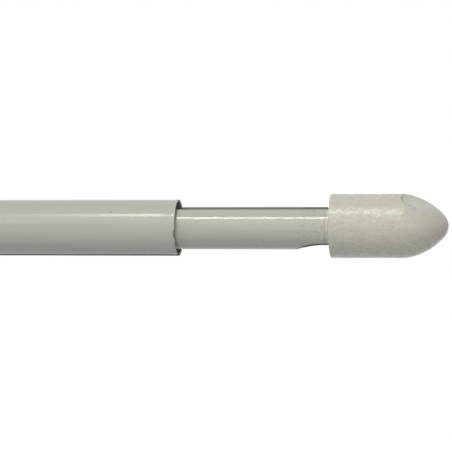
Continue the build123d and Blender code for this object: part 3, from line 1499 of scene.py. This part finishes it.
@dataclass(kw_only=True)
class Studio:
    """A white sweep with a long strip light, a softbox, fills from the front and the back, and the camera.

    Attributes:
        floor_drop: How far the floor lies below the rod, which is hung.
        floor_size: Width of the floor.
        camera_target: The point that the camera looks at.
        camera_distance: Distance from that point.
        camera_turn: How far the camera stands to the right of the front, in degrees.
        camera_lens: Focal length, in millimetres.
        camera_sensor: Width of the sensor, in millimetres.
        camera_clip: Distance from which the camera sees.
    """

    floor_drop: float = 160 * MM
    floor_size: float = 14.0
    camera_target: tuple[float, float, float] = (11.0 * MM, 0.0, 0.39 * MM)
    camera_distance: float = 600 * MM
    camera_turn: float = 9.0
    camera_lens: float = 206.9
    camera_sensor: float = 36.0
    camera_clip: float = 10 * MM

    # Matt paper, which the eye takes for a plain white ground with a soft shadow.
    FLOOR_COLOUR = "#C6C6C6"
    FLOOR_ROUGHNESS = 1.0
    FLOOR_SPECULAR = 0.0
    FLOOR_LIFT = 0.8

    # Levels of light, not colours of a surface
    AMBIENT = (0.22, 0.235, 0.35, 1.0)
    WHITE = (1.0, 1.0, 1.0, 1.0)

    LAMPS = (
        AreaLamp(
            name="strip_light",
            aim_x=-54 * MM,
            elevation=53,
            turn=0,
            distance=700 * MM,
            width=228 * MM,
            height=100 * MM,
            radiance=21.6,
            colour=(1.0, 0.985, 0.82),
        ),
        AreaLamp(
            name="softbox",
            aim_x=35 * MM,
            elevation=10,
            turn=10,
            distance=300 * MM,
            width=266 * MM,
            height=266 * MM,
            radiance=1.07,
            colour=(1.0, 0.96, 0.84),
        ),
        SunLamp(
            name="fill_light", elevation=35, turn=-25, spread=40, strength=0.69, colour=(0.95, 1.0, 0.97)
        ),
        SunLamp(
            name="back_light", elevation=0, turn=215, spread=25, strength=2.3, colour=(1.0, 0.98, 0.8)
        ),
    )

    def build(self) -> None:
        """Sets up the floor, the world, the lights and the camera."""
        self.lay_floor()
        self.light_world()
        for lamp in self.LAMPS:
            lamp.hang()
        self.place_camera()
        bpy.context.scene.view_settings.view_transform = "Standard"

    def seen_directly(self, tree: bpy.types.NodeTree) -> bpy.types.NodeSocket:
        """Gives 1 on rays that show the background, and 0 on rays that light the object.

        Args:
            tree: The node tree of the floor or the world.

        Returns:
            The value's socket.
        """
        path = add_node(tree, "LightPath")
        seen = path.outputs["Is Camera Ray"]
        for ray in ("Is Glossy Ray", "Is Transmission Ray"):
            either = add_node(tree, "Math", {0: seen, 1: path.outputs[ray]}, operation="MAXIMUM")
            seen = either.outputs["Value"]
        return seen

    def lay_floor(self) -> None:
        """Lays a pale floor that shows white, keeps the rod's shadow and is clear from below."""
        bpy.ops.object.select_all(action="DESELECT")
        bpy.ops.mesh.primitive_plane_add(size=self.floor_size, location=(0, 0, -self.floor_drop))
        floor = start_piece(bpy.context.object, "floor")
        material, tree, shader = start_material("floor_paper")
        shader.inputs["Base Color"].default_value = linear(self.FLOOR_COLOUR)
        shader.inputs["Roughness"].default_value = self.FLOOR_ROUGHNESS
        shader.inputs["Specular IOR Level"].default_value = self.FLOOR_SPECULAR
        shader.inputs["Emission Color"].default_value = self.WHITE
        seen = self.seen_directly(tree)
        lift = add_node(tree, "Math", {0: seen, 1: self.FLOOR_LIFT}, operation="MULTIPLY")
        tree.links.new(lift.outputs["Value"], shader.inputs["Emission Strength"])
        from_below = add_node(tree, "NewGeometry").outputs["Backfacing"]
        clear = add_node(tree, "BsdfTransparent").outputs["BSDF"]
        paper = add_node(tree, "MixShader", {0: from_below, 1: shader.outputs["BSDF"], 2: clear})
        tree.links.new(paper.outputs["Shader"], tree.nodes["Material Output"].inputs["Surface"])
        floor.data.materials.append(material)

    def light_world(self) -> None:
        """Makes the world white to look at, and dimmer and a little cool as light."""
        world = bpy.data.worlds.new("studio")
        bpy.context.scene.world = world
        world.use_nodes = True
        tree = world.node_tree
        tree.nodes.clear()
        colour = add_node(
            tree,
            "Mix",
            {MIX_SHARE: self.seen_directly(tree), MIX_BELOW: self.AMBIENT, MIX_ABOVE: self.WHITE},
            data_type="RGBA",
        )
        background = add_node(tree, "Background", {"Color": colour.outputs[MIX_RESULT]})
        add_node(tree, "OutputWorld", {"Surface": background.outputs["Background"]})

    def place_camera(self) -> None:
        """Puts the camera level with the rod, a little to the right of its front."""
        data = bpy.data.cameras.new("camera")
        data.lens = self.camera_lens
        data.sensor_width = self.camera_sensor
        data.clip_start = self.camera_clip
        camera = bpy.data.objects.new("camera", data)
        turn = math.radians(self.camera_turn)
        back = Vector((math.sin(turn), -math.cos(turn), 0))
        camera.location = Vector(self.camera_target) + back * self.camera_distance
        camera.rotation_euler = (math.pi / 2, 0, turn)
        bpy.context.scene.collection.objects.link(camera)
        bpy.context.scene.camera = camera


# The rod


def seat_radius(record: dict[str, Any], mount: str) -> float:
    """Gives a tube's outside radius, in metres, from the mount that is measured on it.

    Args:
        record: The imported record.
        mount: The mount's name.

    Returns:
        The radius.
    """
    return next(m["dims"]["r_mm"] for m in record["mounts"] if m["name"] == mount) * MM


def fleck(angle_deg: float, tube_radius: float, x: float, size_mm: float) -> Speck:
    """Places a fleck on a round piece.

    Args:
        angle_deg: Angle up from the front.
        tube_radius: The piece's outside radius.
        x: Station along the rod.
        size_mm: The fleck's radius, in millimetres.

    Returns:
        The fleck.
    """
    return Speck(place=around(math.radians(angle_deg), tube_radius, x), radius=size_mm)


def report(piece: bpy.types.Object) -> None:
    """Logs a finished piece with its number of faces."""
    log.info("%s: %d faces", piece.name, len(piece.data.polygons))


def main() -> None:
    """Builds the rod around its frame and dresses it."""
    logging.basicConfig(level=logging.INFO, format="%(name)s: %(message)s")
    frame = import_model()
    record = frame["record"]
    outer_radius = seat_radius(record, "outer_tube_seat")
    inner_radius = seat_radius(record, "inner_tube_seat")
    inner_rim_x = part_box("inner_end_cap")[0].x
    outer_rim_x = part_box("outer_tube")[0].x

    cut_edge = BareSteel(name="sheared_steel_edge", colour="#6C695F", patch="#5A574E", metallic=0.2)
    bore = BareSteel(name="galvanised_steel_bore", colour="#A6A49C", patch="#8F8D86", metallic=0.3)

    outer_tube = OuterTube(
        name="outer_tube_rolled",
        node="outer_tube",
        body="outer_rod",
        radius=outer_radius,
        wall=0.6 * MM,
        slit_angle=-82.0,
        slit_width=2.2 * MM,
        corner_radius=0.7 * MM,
        nick_width=1.9 * MM,
        nick_depth=0.3 * MM,
        nick_height=-1.5 * MM,
    )
    outer_paint = StripEnamel(
        name="off_white_enamel_outer",
        roughness=0.17,
        specks=(fleck(angle_deg=33.0, tube_radius=outer_radius, x=-15.0 * MM, size_mm=0.2),),
    )
    piece = outer_tube.build()
    outer_tube.dress(piece, outer_paint, cut_edge, bore)
    report(piece)

    inner_tube = InnerTube(
        name="inner_tube_rolled",
        node="inner_tube",
        body="inner_rod",
        radius=inner_radius,
        wall=0.5 * MM,
        slit_angle=82.5,
        slit_width=4.3 * MM,
        rim_x=inner_rim_x,
        notch_depth=1.18 * MM,
        notch_run_out=17.5 * MM,
        notch_shown=2.0 * MM,
        notch_tilt=3.7,
        dimple_station=6.0 * MM,
        dimple_reach=0.9 * MM,
        dimple_depth=0.4 * MM,
    )
    inner_paint = StripEnamel(
        name="off_white_enamel_inner",
        roughness=0.12,
        specks=(fleck(angle_deg=-37.0, tube_radius=inner_radius, x=20.2 * MM, size_mm=0.14),),
        # Scuffs and smudges towards the cap, with painted shade and painted highlight at its rim.
        wear_and_shading=CapWearAndShading(start=20.0, full=30.0, ring=34.45),
    )
    piece = inner_tube.build()
    inner_tube.dress(piece, inner_paint, cut_edge, bore)
    report(piece)

    cap_straight = 16.85 * MM
    cap_gap = 0.2 * MM  # between a tube's wall and the cap's, which the crush ribs bridge
    rib_height = 0.17 * MM
    rib_width = 0.8 * MM
    inner_cap = SocketCap(
        name="inner_end_cap_moulded",
        node="inner_end_cap",
        body="inner_rod",
        rim_x=inner_rim_x,
        heading=Heading.RIGHT,
        straight=cap_straight,
        tube_fit=inner_radius + cap_gap,
        tube_depth=14.0 * MM,
        rib_height=rib_height,
        rib_width=rib_width,
        lead_in=0.4 * MM,
    )
    outer_cap = SpigotCap(
        name="outer_end_cap_moulded",
        node="outer_end_cap",
        body="outer_rod",
        rim_x=outer_rim_x,
        heading=Heading.LEFT,
        straight=cap_straight,
        tube_fit=outer_radius - outer_tube.wall - cap_gap,
        tube_depth=12.0 * MM,
        rib_height=rib_height,
        rib_width=rib_width,
        chamfer=0.6 * MM,
        spigot_wall=2.0 * MM,
        core_depth=26.0 * MM,
    )
    plastic = MouldedCapPlastic(
        name="off_white_moulded_cap",
        specks=(fleck(angle_deg=-44.0, tube_radius=inner_cap.radius, x=45.9 * MM, size_mm=0.26),),
    )
    for cap in (inner_cap, outer_cap):
        piece = cap.build()
        cap.dress(piece, plastic)
        report(piece)

    plug = FrictionPlug(node="friction_plug").dress(frame["nodes"], PlugNylon(name="natural_nylon"))
    report(plug)

    Studio().build()


if __name__ == "__main__":
    main()
